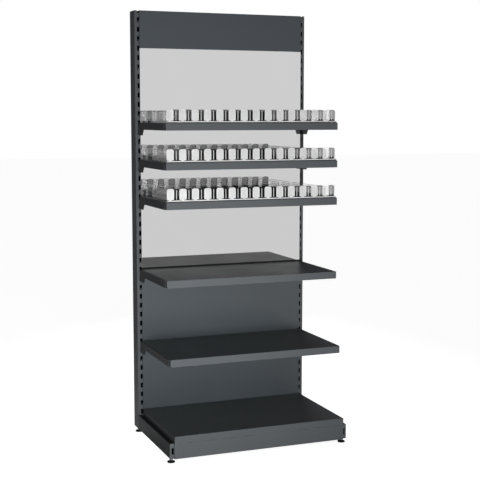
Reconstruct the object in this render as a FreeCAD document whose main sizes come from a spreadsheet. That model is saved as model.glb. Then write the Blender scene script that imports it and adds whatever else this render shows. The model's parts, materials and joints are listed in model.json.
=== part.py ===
"""Shop wall shelving unit: slotted posts, mirror back, pusher shelves, plain shelves and a base.

Millimetres, +Z up, front towards -Y, right-hand side towards +X.
The origin is on the floor, under the middle of the unit's overall width and depth.
"""
import FreeCAD, Part
import math
import os
import re
import Sketcher

# Driving sizes, in millimetres or counts
SIZES = {
    # Posts
    "post_spacing": 970.0,
    "post_width": 30.0,
    "post_depth": 90.0,
    "post_wall": 2.0,
    "post_corner": 3.0,
    "post_height": 2300.0,
    "foot_lift": 25.0,
    "overcut": 1.0,
    "slot_pitch": 50.0,
    "slot_width": 13.0,
    "slot_inset": 5.5,
    "slot_height": 27.0,
    # Back panels and mirror
    "panel_proud": 8.0,
    "panel_edge_gap": 10.5,
    "panel_sheet": 1.0,
    "panel_bend": 1.6,
    "panel_joint": 1.0,
    "mirror_glass": 4.0,
    "mirror_bevel": 0.8,
    "lug_sheet": 1.5,
    "lug_height": 10.0,
    "lug_drop": 6.0,
    # Slot steps: the heights of the panels, then each shelf's slot counted up from the post's foot
    "base_steps": 2,
    "low_panel_steps": 8,
    "carrier_steps": 8,
    "header_steps": 4,
    "lug_low_steps": 1,
    "lug_top_steps": 2,
    "header_lug_steps": 1,
    "shelf_steps_a": 34,
    "shelf_steps_b": 30,
    "shelf_steps_c": 26,
    "shelf_steps_d": 18,
    "shelf_steps_e": 10,
    # Shelf trays
    "shelf_reach": 480.0,
    "low_shelf_reach": 530.0,
    "base_reach": 585.0,
    "tray_end_gap": 7.0,
    "tray_rise": 2.5,
    "tray_back_gap": 1.0,
    "tray_height": 35.0,
    "tray_sheet": 1.2,
    "tray_bend": 2.6,
    "tray_return": 10.0,
    "lip_height": 38.0,
    "lip_return": 14.0,
    "rib_width": 60.0,
    "rib_height": 18.0,
    "rib_end_gap": 40.0,
    # Shelf brackets
    "bracket_plate": 3.0,
    "bracket_slot_gap": 0.5,
    "bracket_top_gap": 2.0,
    "bracket_front_gap": 2.0,
    "bracket_ledge": 14.0,
    "bracket_heel_drop": 68.0,
    "bracket_heel_reach": 75.0,
    "bracket_taper_reach": 98.0,
    "hook_neck": 11.0,
    "hook_drop": 8.0,
    "hook_tongue": 3.5,
    "hook_gap": 0.3,
    # Base
    "base_beam_height": 80.0,
    "base_beam_wall": 2.0,
    "base_lip": 37.0,
    "beam_hook_width": 6.0,
    "end_slot_width": 12.0,
    "end_slot_height": 33.0,
    "plinth_depth": 11.0,
    "plinth_sheet": 1.2,
    "plinth_gap": 1.0,
    "plinth_tongue": 45.0,
    "plinth_tongue_height": 40.0,
    "plinth_tongue_gap": 0.3,
    # Cross rails and bolts
    "rail_height": 30.0,
    "rail_depth": 25.0,
    "rail_sheet": 2.0,
    "rail_plate": 60.0,
    "rail_inset_steps": 2,
    "rail_low_steps": 3,
    "bolt_radius": 4.0,
    "bolt_gap": 0.2,
    "bolt_head_radius": 7.0,
    "bolt_head": 4.0,
    "bolt_nut": 6.0,
    "rail_bolt_offset": 22.0,
    "beam_bolt_height": 20.0,
    # Levelling feet
    "pad_radius": 20.0,
    "pad_rim": 6.0,
    "pad_dome": 3.0,
    "pad_boss_radius": 9.0,
    "pad_height": 11.0,
    "socket_floor": 5.0,
    "stem_radius": 5.0,
    "stem_length": 66.0,
    "stem_tip": 1.5,
    "stem_gap": 0.05,
    "collar_radius": 9.0,
    "collar_height": 6.0,
    "nut_radius": 9.5,
    "nut_height": 9.0,
    "plug_height": 12.0,
    "plug_gap": 0.2,
    "front_foot_setback": 27.0,
    # Pusher system on the three upper shelves
    "lane_count": 14,
    "lane_margin": 19.0,
    "first_divider": 24.5,
    "front_rail_setback": 4.0,
    "front_rail_depth": 6.0,
    "front_rail_height": 9.0,
    "front_rail_round": 1.2,
    "front_rail_end_gap": 5.0,
    "stop_width": 38.5,
    "stop_height": 68.0,
    "stop_corner": 11.0,
    "stop_sheet": 3.0,
    "divider_sheet": 2.0,
    "divider_height": 60.0,
    "divider_corner": 8.0,
    "divider_back_gap": 20.0,
    "track_width": 30.0,
    "track_height": 5.0,
    "track_front_gap": 0.5,
    "paddle_width": 38.5,
    "paddle_height": 62.5,
    "paddle_sheet": 3.0,
    "paddle_front_gap": 3.0,
    "pusher_lift": 0.3,
    "heel_depth": 22.0,
    "heel_floor": 2.0,
    "heel_cheek": 3.0,
    "heel_height": 14.0,
    "spring_radius": 6.0,
    "spring_core_radius": 3.0,
    "spring_gap": 0.3,
}

# Sizes that follow from the driving ones
DERIVED = {
    "half_spacing": "post_spacing / 2",
    "slot_x": "half_spacing - slot_inset",
    "face_y": "(base_reach - post_depth) / 2",
    "post_steps": "floor(post_height / slot_pitch)",
    "mirror_foot_steps": "base_steps + 2 * low_panel_steps",
    "header_foot_steps": "post_steps - header_steps",
    "top_carrier_steps": "header_foot_steps - mirror_foot_steps - 2 * carrier_steps",
    "panel_half": "half_spacing - panel_edge_gap",
    "panel_y": "face_y - panel_proud",
    "carrier_y": "panel_y + mirror_glass",
    "tray_half": "half_spacing - tray_end_gap",
    "tray_back_y": "panel_y - tray_back_gap",
    "lip_y": "face_y - shelf_reach",
    "beam_top": "foot_lift + base_beam_height",
    "beam_front_y": "face_y - base_reach + plinth_depth",
    "slot_half": "slot_height / 2",
    "plate_far": "bracket_slot_gap + bracket_plate",
    "hook_depth": "post_wall + hook_gap + hook_tongue",
    "rail_y": "face_y + (post_depth - rail_depth) / 2",
    "lane_pitch": "(2 * tray_half - lane_margin) / lane_count",
    "rail_front_y": "lip_y + front_rail_setback",
    "stop_y": "rail_front_y + front_rail_depth",
    "divider_y": "stop_y + stop_sheet",
    "divider_length": "tray_back_y - divider_back_gap - divider_y",
    "paddle_y": "divider_y + paddle_front_gap",
    "pusher_floor": "track_height + pusher_lift",
    "first_foot_y": "beam_front_y + front_foot_setback",
    "rear_foot_y": "face_y + post_depth / 2",
}

SIDES = {"left": -1, "right": 1}
UPPER_SHELVES = {"1": "shelf_steps_a", "2": "shelf_steps_b", "3": "shelf_steps_c"}
PLAIN_SHELVES = {"4": "shelf_steps_d", "5": "shelf_steps_e"}
RAIL_STEPS = {"upper": "post_steps - rail_inset_steps", "lower": "rail_low_steps"}

# A box's edges, by the order in which a Part::Box lists them
TOP_EDGES = (2, 6, 10, 12)
FRONT_EDGES = (1, 5, 9, 10)
UPRIGHT_EDGES = (1, 3, 5, 7)
LENGTHWISE_EDGES = (2, 4, 6, 8)
BAR_TOP_EDGES = (10, 12)

# First sizes of a sketch's lines, before its dimensions set the real ones
GUESS_WIDTH = 30.0
GUESS_HEIGHT = 40.0
GUESS_BEND = 5.0

doc = FreeCAD.newDocument("WallShelving")
sheet = doc.addObject("Spreadsheet::Sheet", "Sizes")
nodes = []


def fill_sheet():
    """Write every size into the sheet, each under its own alias."""
    rows = {name: str(value) for name, value in SIZES.items()}
    rows.update({name: f"={formula}" for name, formula in DERIVED.items()})
    for number, (name, text) in enumerate(rows.items(), start=1):
        sheet.set(f"A{number}", name)
        sheet.set(f"B{number}", text)
        sheet.setAlias(f"B{number}", name)
    doc.recompute()


def expand(formula):
    """Put the sheet's name in front of every size in a formula."""
    return re.sub(r"[a-z]\w*", lambda word: f"Sizes.{word.group()}", str(formula))


def bind(thing, **formulas):
    """Tie properties of a document object to formulas of the sheet's sizes."""
    for name, formula in formulas.items():
        thing.setExpression(name, expand(formula))
    return thing


def place(thing, x, y, z):
    """Tie an object's position to formulas."""
    for axis, formula in zip("xyz", (x, y, z)):
        thing.setExpression(f"Placement.Base.{axis}", expand(formula))
    return thing


def block(x, y, z, length, width, height):
    """A box from its lowest corner and its size along X, Y and Z."""
    box = doc.addObject("Part::Box", "block")
    bind(box, Length=length, Width=width, Height=height)
    return place(box, x, y, z)


def mirrored_block(sign, near, y, z, length, width, height):
    """A box whose inner or outer face lies at sign * near and which grows away from the middle."""
    x = near if sign > 0 else f"-({near}) - ({length})"
    return block(x, y, z, length, width, height)


def rod(x, y, z, radius, height, direction=None):
    """A cylinder from the centre of its first end, along +Z or along the given direction."""
    cylinder = doc.addObject("Part::Cylinder", "rod")
    if direction:
        turn = FreeCAD.Rotation(FreeCAD.Vector(0, 0, 1), FreeCAD.Vector(*direction))
        cylinder.Placement = FreeCAD.Placement(FreeCAD.Vector(), turn)
    bind(cylinder, Radius=radius, Height=height)
    return place(cylinder, x, y, z)


def cone(x, y, z, low_radius, high_radius, height):
    """An upright cone between two radii."""
    frustum = doc.addObject("Part::Cone", "cone")
    bind(frustum, Radius1=low_radius, Radius2=high_radius, Height=height)
    return place(frustum, x, y, z)


def rounded(box, edges, radius):
    """A box with some of its edges rounded."""
    doc.recompute()
    value = FreeCAD.Units.Quantity(str(sheet.get(radius))).Value
    fillet = doc.addObject("Part::Fillet", "rounded")
    fillet.Base = box
    fillet.Edges = [(edge, value, value) for edge in edges]
    return fillet


def joined(pieces):
    """One solid from pieces that are folded, welded or moulded together."""
    if len(pieces) == 1:
        return pieces[0]
    fuse = doc.addObject("Part::MultiFuse", "joined")
    fuse.Shapes = pieces
    fuse.Refine = True
    return fuse


def cut(base, tools):
    """A piece with holes, slots or hollows taken out."""
    remainder = doc.addObject("Part::Cut", "cut")
    remainder.Base = base
    remainder.Tool = joined(tools)
    return remainder


def node(name, thing):
    """Name a finished sub-part."""
    thing.Label = name
    nodes.append(thing)
    return thing


def group(name, things):
    """Separate like solids that share one node."""
    compound = doc.addObject("Part::Compound", name)
    compound.Links = things
    return node(name, compound)


def profile(body, role, x=0, y=0, z=0):
    """An empty sketch on one of a body's origin planes, shifted within the plane and along its normal."""
    planes = {feature.Role: feature for feature in body.Origin.OriginFeatures}
    drawing = body.newObject("Sketcher::SketchObject", "profile")
    drawing.AttachmentSupport = [(planes[role], "")]
    drawing.MapMode = "FlatFace"
    for axis, formula in zip("xyz", (x, y, z)):
        drawing.setExpression(f"AttachmentOffset.Base.{axis}", expand(formula))
    return drawing


def measure(drawing, kind, ends, guess, formula):
    """Add a dimension to a sketch and tie it to a formula."""
    index = drawing.addConstraint(Sketcher.Constraint(kind, *ends, guess))
    drawing.setExpression(f"Constraints[{index}]", expand(formula))


def rectangle(drawing, width, height):
    """Draw a rectangle from the sketch's origin."""
    across = GUESS_WIDTH
    up = GUESS_HEIGHT
    corners = [FreeCAD.Vector(*point, 0) for point in ((0, 0), (across, 0), (across, up), (0, up))]
    for number in range(4):
        drawing.addGeometry(Part.LineSegment(corners[number], corners[(number + 1) % 4]), False)
    for number in range(4):
        drawing.addConstraint(Sketcher.Constraint("Coincident", number, 2, (number + 1) % 4, 1))
        drawing.addConstraint(Sketcher.Constraint("Vertical" if number % 2 else "Horizontal", number))
    drawing.addConstraint(Sketcher.Constraint("Coincident", 0, 1, -1, 1))
    measure(drawing, "DistanceX", (0, 1, 0, 2), across, width)
    measure(drawing, "DistanceY", (1, 1, 1, 2), up, height)
    return drawing


def tab(drawing, width, height, corner):
    """Draw a rectangle from the sketch's origin with its two upper corners rounded."""
    across = GUESS_WIDTH
    up = GUESS_HEIGHT
    bend = GUESS_BEND
    normal = FreeCAD.Vector(0, 0, 1)

    def line(x1, y1, x2, y2):
        drawing.addGeometry(Part.LineSegment(FreeCAD.Vector(x1, y1, 0), FreeCAD.Vector(x2, y2, 0)), False)

    def arc(x, y, start, end):
        circle = Part.Circle(FreeCAD.Vector(x, y, 0), normal, bend)
        drawing.addGeometry(Part.ArcOfCircle(circle, start, end), False)

    line(0, 0, across, 0)
    line(across, 0, across, up - bend)
    arc(across - bend, up - bend, 0, math.pi / 2)
    line(across - bend, up, bend, up)
    arc(bend, up - bend, math.pi / 2, math.pi)
    line(0, up - bend, 0, 0)
    for first, second in ((0, 1), (5, 0)):
        drawing.addConstraint(Sketcher.Constraint("Coincident", first, 2, second, 1))
    for first in (1, 2, 3, 4):
        drawing.addConstraint(Sketcher.Constraint("Tangent", first, 2, first + 1, 1))
    for number, kind in ((0, "Horizontal"), (1, "Vertical"), (3, "Horizontal"), (5, "Vertical")):
        drawing.addConstraint(Sketcher.Constraint(kind, number))
    drawing.addConstraint(Sketcher.Constraint("Equal", 2, 4))
    drawing.addConstraint(Sketcher.Constraint("Coincident", 0, 1, -1, 1))
    measure(drawing, "DistanceX", (0, 1, 0, 2), across, width)
    measure(drawing, "DistanceY", (0, 1, 3, 1), up, height)
    measure(drawing, "Radius", (2,), bend, corner)
    return drawing


def ring(drawing, outer, inner):
    """Draw two circles about the sketch's origin."""
    for number, (guess, radius) in enumerate(((GUESS_WIDTH, outer), (GUESS_BEND, inner))):
        drawing.addGeometry(Part.Circle(FreeCAD.Vector(), FreeCAD.Vector(0, 0, 1), guess), False)
        drawing.addConstraint(Sketcher.Constraint("Coincident", number, 3, -1, 1))
        measure(drawing, "Radius", (number,), guess, radius)
    return drawing


def padded(body, drawing, length, backwards=False):
    """Pad a sketch of a body."""
    pad = body.newObject("PartDesign::Pad", "pad")
    pad.Profile = drawing
    pad.Reversed = backwards
    return bind(pad, Length=length)


def repeated(body, pads, axis, count, pitch):
    """Repeat pads along an axis of the first pad's sketch, at a steady pitch."""
    doc.recompute()
    pattern = body.newObject("PartDesign::LinearPattern", "row")
    pattern.Originals = pads
    pattern.Direction = (pads[0].Profile[0], [axis])
    pattern.Mode = "Spacing"
    bind(pattern, Occurrences=count, Offset=pitch)
    body.Tip = pattern
    return body


def slot_level(steps):
    """Height of the slot that lies some steps above the post's foot."""
    return f"foot_lift + ({steps}) * slot_pitch"


def tray_level(steps):
    """Height of the top of a shelf whose upper hooks sit in the slot some steps above the post's foot."""
    return f"{slot_level(steps)} + tray_rise"


def slot_cutters(sign):
    """The column of slots near the inner edge of a post's front wall.

    One at the very top is cut open by the post's end.
    """
    body = doc.addObject("PartDesign::Body", "slots")
    drawing = rectangle(profile(body, "XZ_Plane"), "slot_width", "slot_height")
    pad = padded(body, drawing, "2 * post_wall")
    repeated(body, [pad], "V_Axis", "post_steps", "slot_pitch")
    low = "foot_lift + slot_pitch - slot_half"
    return place(body, f"{sign} * slot_x - slot_width / 2", "face_y + 1.5 * post_wall", low)


def rail_bolt_heights():
    """Heights of the bolts that hold the two cross rails to a post."""
    levels = [slot_level(steps) for steps in RAIL_STEPS.values()]
    return [f"{level} {shift} rail_bolt_offset" for level in levels for shift in "+-"]


def make_post(side, sign):
    """An open tube with a column of slots in front and bolt holes for the rails and the base beam."""
    outside = block(f"{sign} * half_spacing - post_width / 2", "face_y", "foot_lift",
                    "post_width", "post_depth", "post_height")
    inside = block(f"{sign} * half_spacing - post_width / 2 + post_wall", "face_y + post_wall", "foot_lift",
                   "post_width - 2 * post_wall", "post_depth - 2 * post_wall", "post_height")
    tube = cut(rounded(outside, UPRIGHT_EDGES, "post_corner"), [inside])
    inner_face = f"{sign} * (half_spacing - post_width / 2 + 2 * post_wall)"
    holes = [rod(inner_face, "rail_y + rail_depth / 2", height, "bolt_radius + bolt_gap", "3 * post_wall",
                 (-sign, 0, 0)) for height in rail_bolt_heights()]
    holes.append(rod(f"{sign} * half_spacing", "face_y - post_wall", "foot_lift + beam_bolt_height",
                     "bolt_radius + bolt_gap", "3 * post_wall", (0, 1, 0)))
    return node(f"{side}_post", cut(tube, [slot_cutters(sign)] + holes))


def make_cross_rail(name, steps):
    """A channel with end plates, bolted between the posts behind the panels."""
    level = slot_level(steps)
    reach = "half_spacing - post_width / 2"
    web = block(f"-({reach})", "rail_y", f"{level} - rail_height / 2",
                f"2 * ({reach})", "rail_sheet", "rail_height")
    flange_levels = (f"{level} - rail_height / 2", f"{level} + rail_height / 2 - rail_sheet")
    flanges = [block(f"-({reach})", "rail_y", flange_level, f"2 * ({reach})", "rail_depth", "rail_sheet")
               for flange_level in flange_levels]
    plates = [mirrored_block(sign, f"{reach} - rail_sheet", "rail_y", f"{level} - rail_plate / 2",
                             "rail_sheet", "rail_depth", "rail_plate") for sign in SIDES.values()]
    holes = [rod(f"{sign} * ({reach} - 2 * rail_sheet)", "rail_y + rail_depth / 2",
                 f"{level} {shift} rail_bolt_offset", "bolt_radius + bolt_gap", "3 * rail_sheet",
                 (sign, 0, 0)) for sign in SIDES.values() for shift in "+-"]
    return node(name, cut(joined([web] + flanges + plates), holes))


def bolt(x, y, z, grip, direction):
    """A bolt with its nut: the head's seat is at the given point, and the shank runs along direction."""
    dx, dy = direction[0], direction[1]
    head = rod(f"{x} - {dx} * bolt_head", f"{y} - {dy} * bolt_head", z,
               "bolt_head_radius", "bolt_head", direction)
    shank = rod(x, y, z, "bolt_radius", grip, direction)
    nut = rod(f"{x} + {dx} * ({grip})", f"{y} + {dy} * ({grip})", z,
              "bolt_head_radius", "bolt_nut", direction)
    return joined([head, shank, nut])


def make_bolts():
    """The bolts of the cross rails and of the base beams."""
    seat = "(half_spacing - post_width / 2 - rail_sheet)"
    rails = [bolt(f"{sign} * {seat}", "rail_y + rail_depth / 2", height, "rail_sheet + post_wall",
                  (sign, 0, 0)) for sign in SIDES.values() for height in rail_bolt_heights()]
    beams = [bolt(f"{sign} * half_spacing", "face_y - base_beam_wall", "foot_lift + beam_bolt_height",
                  "base_beam_wall + post_wall", (0, 1, 0)) for sign in SIDES.values()]
    group("cross_rail_bolts", rails)
    group("base_beam_bolts", beams)


def panel_lugs(sign, steps):
    """The folded lug that hangs one side of a panel in a slot."""
    level = f"{slot_level(steps)} - slot_half"
    near = "panel_half - panel_sheet"
    hook_near = "half_spacing - plate_far"
    plate = mirrored_block(sign, near, "face_y - panel_sheet", level,
                           f"{hook_near} + lug_sheet - ({near})", "panel_sheet", "lug_height")
    neck = mirrored_block(sign, hook_near, "face_y - panel_sheet", level,
                          "lug_sheet", "panel_sheet + post_wall + hook_gap + lug_sheet", "lug_height")
    tongue = mirrored_block(sign, hook_near, "face_y + post_wall + hook_gap", f"{level} - lug_drop",
                            "lug_sheet", "lug_sheet", "lug_height + lug_drop")
    return [plate, neck, tongue]


def make_panel(name, front, foot, steps, top_lug="lug_top_steps"):
    """A folded back panel: a face sheet with returns all round, hung in the slots by four lugs.

    It stands at the slot step foot and is some steps tall; top_lug counts from its top to the upper lugs.
    """
    low = f"{slot_level(foot)} + panel_joint / 2"
    tall = f"({steps}) * slot_pitch - panel_joint"
    outside = block("-panel_half", front, low, "2 * panel_half", f"face_y - {front}", tall)
    inside = block("-panel_half + panel_sheet", f"{front} + panel_sheet", f"{low} + panel_sheet",
                   "2 * panel_half - 2 * panel_sheet", f"face_y - {front}", f"{tall} - 2 * panel_sheet")
    pan = cut(rounded(outside, FRONT_EDGES, "panel_bend"), [inside])
    lugs = []
    for sign in SIDES.values():
        lugs += panel_lugs(sign, f"{foot} + lug_low_steps")
        lugs += panel_lugs(sign, f"{foot} + {steps} - {top_lug}")
    return node(name, joined([pan] + lugs))


def make_mirror():
    """The mirror pane, bonded to its three carrier panels."""
    low = f"{slot_level('mirror_foot_steps')} + panel_joint / 2"
    pane = block("-panel_half", "panel_y", low, "2 * panel_half", "mirror_glass",
                 "(header_foot_steps - mirror_foot_steps) * slot_pitch - panel_joint")
    return node("mirror_pane", rounded(pane, FRONT_EDGES, "mirror_bevel"))


def make_tray(name, top, front, lip, side_height):
    """A folded shelf tray: top sheet, four sides, a front lip with a return and a welded rib below."""
    depth = f"tray_back_y - ({front})"
    low = f"{top} - {side_height}"
    outside = block("-tray_half", front, low, "2 * tray_half", depth, side_height)
    inside = block("-tray_half + tray_sheet", f"{front} + tray_sheet", f"{low} - tray_sheet",
                   "2 * tray_half - 2 * tray_sheet", f"{depth} - 2 * tray_sheet", side_height)
    pan = cut(rounded(outside, TOP_EDGES, "tray_bend"), [inside])
    apron = block("-tray_half", front, f"{top} - {lip}", "2 * tray_half", "tray_sheet", f"{lip} / 2")
    fold = block("-tray_half", front, f"{top} - {lip}", "2 * tray_half", "lip_return", "tray_sheet")
    sides = [mirrored_block(sign, "tray_half - tray_return", f"{front} + lip_return", low,
                            "tray_return", f"{depth} - lip_return", "tray_sheet") for sign in SIDES.values()]
    rib_y = f"{front} + ({depth} - rib_width) / 2"
    rib_length = "2 * tray_half - 2 * rib_end_gap"
    webs = [block("-tray_half + rib_end_gap", f"{rib_y} + {side} * (rib_width - tray_sheet)",
                  f"{top} - rib_height", rib_length, "tray_sheet", "rib_height - tray_sheet / 2")
            for side in (0, 1)]
    sole = block("-tray_half + rib_end_gap", rib_y, f"{top} - rib_height",
                 rib_length, "rib_width", "tray_sheet")
    return node(name, joined([pan, apron, fold, sole] + sides + webs))


def bracket_hook(sign, level):
    """A hook that drops behind a post's front wall and sits on the lower end of a slot."""
    near = "half_spacing - plate_far"
    bottom = f"{level} - slot_half"
    neck = mirrored_block(sign, near, "face_y - hook_tongue", bottom,
                          "bracket_plate", "hook_tongue + hook_depth", "hook_neck")
    tongue = mirrored_block(sign, near, "face_y + post_wall + hook_gap", f"{bottom} - hook_drop",
                            "bracket_plate", "hook_tongue", "hook_neck + hook_drop")
    return [neck, tongue]


def make_bracket(name, sign, steps, reach):
    """A shelf bracket: an arm with a ledge for the tray, a deeper heel and two hooks."""
    top = tray_level(steps)
    near = "half_spacing - plate_far"
    arm_front = f"face_y - {reach} + lip_return + bracket_front_gap"
    arm = mirrored_block(sign, near, arm_front, f"{top} - lip_height", "bracket_plate",
                         f"face_y - ({arm_front})", "lip_height - bracket_top_gap")
    heel = mirrored_block(sign, near, "face_y - bracket_heel_reach", f"{top} - bracket_heel_drop",
                          "bracket_plate", "bracket_heel_reach", "bracket_heel_drop - bracket_top_gap")
    taper = doc.addObject("Part::Wedge", "taper")
    x_low = near if sign > 0 else "-half_spacing + bracket_slot_gap"
    bind(taper, Xmin=0, Xmax="bracket_plate", X2min=0, X2max="bracket_plate",
         Ymin=0, Ymax="bracket_taper_reach - bracket_heel_reach",
         Zmin="bracket_heel_drop - lip_height - overcut", Zmax="bracket_heel_drop - lip_height + overcut",
         Z2min=0, Z2max="bracket_heel_drop - lip_height + overcut")
    place(taper, x_low, "face_y - bracket_taper_reach", f"{top} - bracket_heel_drop")
    ledge_back = "panel_y - tray_back_gap"
    ledge = mirrored_block(sign, "half_spacing - bracket_slot_gap - bracket_ledge", arm_front,
                           f"{top} - lip_height", "bracket_ledge", f"{ledge_back} - ({arm_front})",
                           "lip_height - tray_height")
    hooks = bracket_hook(sign, slot_level(steps)) + bracket_hook(sign, slot_level(f"{steps} - 1"))
    return node(name, joined([arm, heel, taper, ledge] + hooks))


def make_base_beam(side, sign):
    """A box beam from a post's foot to the front, with a slotted end plate and a hook for the post."""
    length = "face_y - beam_front_y"
    outside = block(f"{sign} * half_spacing - post_width / 2", "beam_front_y", "foot_lift",
                    "post_width", length, "base_beam_height")
    inside = block(f"{sign} * half_spacing - post_width / 2 + base_beam_wall",
                   "beam_front_y + base_beam_wall", "foot_lift + base_beam_wall",
                   "post_width - 2 * base_beam_wall", f"{length} - 2 * base_beam_wall",
                   "base_beam_height - 2 * base_beam_wall")
    level = f"{slot_level(1)} - slot_half"
    neck = block(f"{sign} * slot_x - beam_hook_width / 2", "face_y - base_beam_wall", level,
                 "beam_hook_width", "base_beam_wall + hook_depth", "hook_neck")
    tongue = block(f"{sign} * slot_x - beam_hook_width / 2", "face_y + post_wall + hook_gap",
                   f"{level} - hook_drop", "beam_hook_width", "hook_tongue", "hook_neck + hook_drop")
    end_slot = block(f"{sign} * half_spacing - end_slot_width / 2", "beam_front_y - base_beam_wall",
                     "foot_lift + (base_beam_height - end_slot_height) / 2",
                     "end_slot_width", "3 * base_beam_wall", "end_slot_height")
    bolt_hole = rod(f"{sign} * half_spacing", "face_y - 2 * base_beam_wall", "foot_lift + beam_bolt_height",
                    "bolt_radius + bolt_gap", "3 * base_beam_wall", (0, 1, 0))
    stem_hole = rod(f"{sign} * half_spacing", "first_foot_y", "foot_lift - base_beam_wall",
                    "stem_radius + bolt_gap", "3 * base_beam_wall")
    tube = cut(rounded(outside, LENGTHWISE_EDGES, "post_corner"), [inside])
    return node(f"{side}_base_beam", cut(joined([tube, neck, tongue]), [end_slot, bolt_hole, stem_hole]))


def make_plinth():
    """The kick plate: a folded face in front of the base beams, held by two tongues beside them."""
    front = "beam_front_y - plinth_depth"
    tall = "base_beam_height - plinth_gap"
    outside = block("-tray_half", front, "foot_lift", "2 * tray_half", "plinth_depth", tall)
    inside = block("-tray_half + plinth_sheet", f"{front} + plinth_sheet", "foot_lift + plinth_sheet",
                   "2 * tray_half - 2 * plinth_sheet", "plinth_depth", f"{tall} - 2 * plinth_sheet")
    pan = cut(outside, [inside])
    tongue_far = "half_spacing - post_width / 2 - plinth_tongue_gap - plinth_sheet"
    tongue_low = f"foot_lift + ({tall} - plinth_tongue_height) / 2"
    tongues = [mirrored_block(sign, tongue_far, f"{front} + plinth_sheet / 2", tongue_low,
                              "plinth_sheet", "plinth_depth + plinth_tongue", "plinth_tongue_height")
               for sign in SIDES.values()]
    return node("plinth", joined([pan] + tongues))


def make_foot(name, x, y):
    """A levelling foot: a plastic pad and a threaded stem with a hexagon collar."""
    body = joined([rod(x, y, 0, "pad_radius", "pad_rim"),
                   cone(x, y, "pad_rim", "pad_radius", "pad_boss_radius", "pad_dome"),
                   rod(x, y, 0, "pad_boss_radius", "pad_height")])
    socket = rod(x, y, "socket_floor", "stem_radius + stem_gap", "pad_height")
    node(f"{name}_foot_pad", cut(body, [socket]))
    shank = rod(x, y, "socket_floor", "stem_radius", "stem_length - stem_tip")
    tip = cone(x, y, "socket_floor + stem_length - stem_tip",
               "stem_radius", "stem_radius - stem_tip", "stem_tip")
    collar = doc.addObject("Part::Prism", "collar")
    bind(collar, Circumradius="collar_radius", Height="collar_height")
    place(collar, x, y, "pad_height")
    node(f"{name}_foot_stem", joined([shank, tip, collar]))


def make_feet():
    """Four feet, with the threaded plugs in the posts and the weld nuts in the base beams."""
    for side, sign in SIDES.items():
        make_foot(f"front_{side}", f"{sign} * half_spacing", "first_foot_y")
        make_foot(f"rear_{side}", f"{sign} * half_spacing", "rear_foot_y")
    plugs = []
    nuts = []
    for sign in SIDES.values():
        solid = block(f"{sign} * half_spacing - post_width / 2 + post_wall + plug_gap",
                      "face_y + post_wall + plug_gap", "foot_lift",
                      "post_width - 2 * post_wall - 2 * plug_gap",
                      "post_depth - 2 * post_wall - 2 * plug_gap", "plug_height")
        bore = rod(f"{sign} * half_spacing", "rear_foot_y", "foot_lift - overcut", "stem_radius + stem_gap",
                   "plug_height + 2 * overcut")
        plugs.append(cut(solid, [bore]))
        nut = rod(f"{sign} * half_spacing", "first_foot_y", "foot_lift + base_beam_wall",
                  "nut_radius", "nut_height")
        thread = rod(f"{sign} * half_spacing", "first_foot_y", "foot_lift", "stem_radius + stem_gap",
                     "2 * base_beam_wall + nut_height")
        nuts.append(cut(nut, [thread]))
    group("post_foot_plugs", plugs)
    group("base_beam_nuts", nuts)


def make_front_rail(shelf, top):
    """The clear bar along a shelf's front edge that carries the stops."""
    half = "tray_half - front_rail_end_gap"
    bar = block(f"-({half})", "rail_front_y", top, f"2 * ({half})", "front_rail_depth", "front_rail_height")
    return node(f"front_rail_{shelf}", rounded(bar, BAR_TOP_EDGES, "front_rail_round"))


def make_stops(shelf, top):
    """The row of clear front stops, one in front of each divider."""
    body = doc.addObject("PartDesign::Body", "stops")
    drawing = tab(profile(body, "XZ_Plane"), "stop_width", "stop_height", "stop_corner")
    repeated(body, [padded(body, drawing, "stop_sheet")], "H_Axis", "lane_count", "lane_pitch")
    place(body, "-tray_half + first_divider - stop_width / 2", "divider_y", top)
    return node(f"front_stops_{shelf}", body)


def make_dividers(shelf, top):
    """The row of clear divider plates that part the lanes."""
    body = doc.addObject("PartDesign::Body", "dividers")
    drawing = tab(profile(body, "YZ_Plane"), "divider_length", "divider_height", "divider_corner")
    pad = padded(body, drawing, "divider_sheet")
    repeated(body, [pad], "N_Axis", "lane_count", "lane_pitch")
    place(body, "-tray_half + first_divider - divider_sheet / 2", "divider_y", top)
    return node(f"dividers_{shelf}", body)


def make_tracks(shelf, top):
    """The row of flat tracks that the pushers run on."""
    body = doc.addObject("PartDesign::Body", "tracks")
    drawing = rectangle(profile(body, "XZ_Plane"), "track_width", "track_height")
    pad = padded(body, drawing, "divider_length - track_front_gap")
    repeated(body, [pad], "H_Axis", "lane_count", "lane_pitch")
    place(body, "-tray_half + first_divider + (lane_pitch - track_width) / 2",
          "divider_y + divider_length", top)
    return node(f"pusher_tracks_{shelf}", body)


def make_pushers(shelf, top):
    """The row of pushers: a clear paddle on a heel that straddles the spring."""
    body = doc.addObject("PartDesign::Body", "pushers")
    heel_left = "(paddle_width - track_width) / 2"
    paddle = padded(body, tab(profile(body, "XZ_Plane"), "paddle_width", "paddle_height", "stop_corner"),
                    "paddle_sheet")
    floor = padded(body, rectangle(profile(body, "XZ_Plane", x=heel_left), "track_width", "heel_floor"),
                   "heel_depth", backwards=True)
    cheeks = []
    for shift in ("0", "track_width - heel_cheek"):
        drawing = profile(body, "XZ_Plane", x=f"{heel_left} + {shift}")
        rectangle(drawing, "heel_cheek", "heel_height")
        cheeks.append(padded(body, drawing, "heel_depth", backwards=True))
    repeated(body, [paddle, floor] + cheeks, "H_Axis", "lane_count", "lane_pitch")
    place(body, "-tray_half + first_divider + (lane_pitch - paddle_width) / 2", "paddle_y + paddle_sheet",
          f"{top} + pusher_floor")
    return node(f"pushers_{shelf}", body)


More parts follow.
